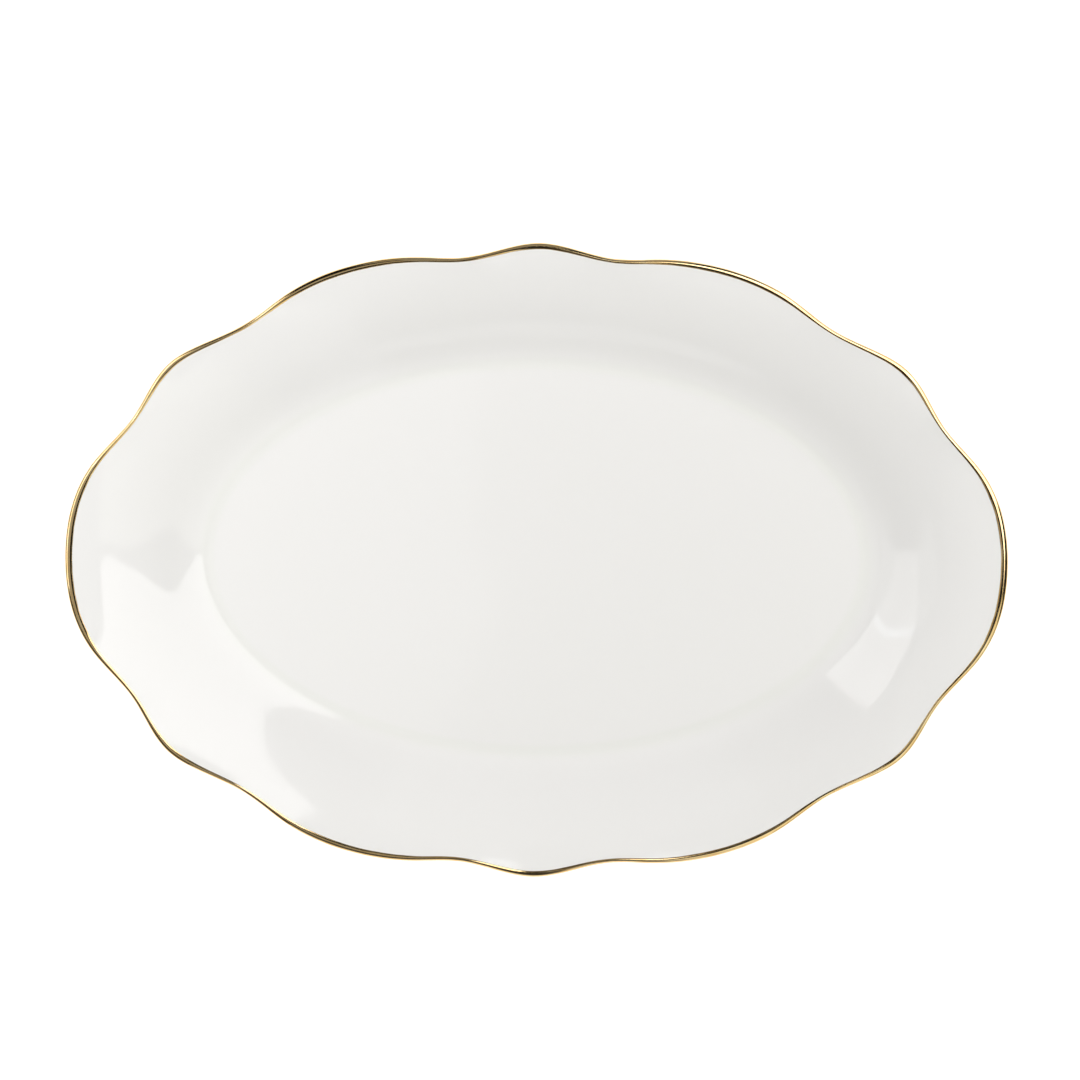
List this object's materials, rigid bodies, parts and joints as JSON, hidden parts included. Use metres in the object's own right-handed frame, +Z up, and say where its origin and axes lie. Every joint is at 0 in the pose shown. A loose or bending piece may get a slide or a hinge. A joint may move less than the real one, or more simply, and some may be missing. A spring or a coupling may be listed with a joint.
{
  "type": "china serving platter",
  "caption": "Oval serving platter of white glazed porcelain with a flat well, a sloping flange, a scalloped lip with a fired gold line, and a bare foot ring.",
  "frame": {"origin": "on the table, under the middle of the platter, at the foot ring's standing face", "axes": "+X along the platter's length, +Y across it, +Z up, out of the well"},
  "size_m": [0.3552, 0.2396, 0.0266],
  "materials": {
    "fired_porcelain": "vitrified white porcelain under the glaze",
    "bare_bisque": "bare porcelain, ground flat, fine matt grain",
    "clear_glaze": "clear gloss glaze, reading white over the porcelain",
    "fired_gold": "bright fired gold line"
  },
  "bodies": {
    "root": {"porcelain_body": "fired_porcelain", "foot_ring": "bare_bisque", "glaze_coat": "clear_glaze", "base_glaze": "clear_glaze", "gold_rim_band": "fired_gold"}
  },
  "joints": []
}
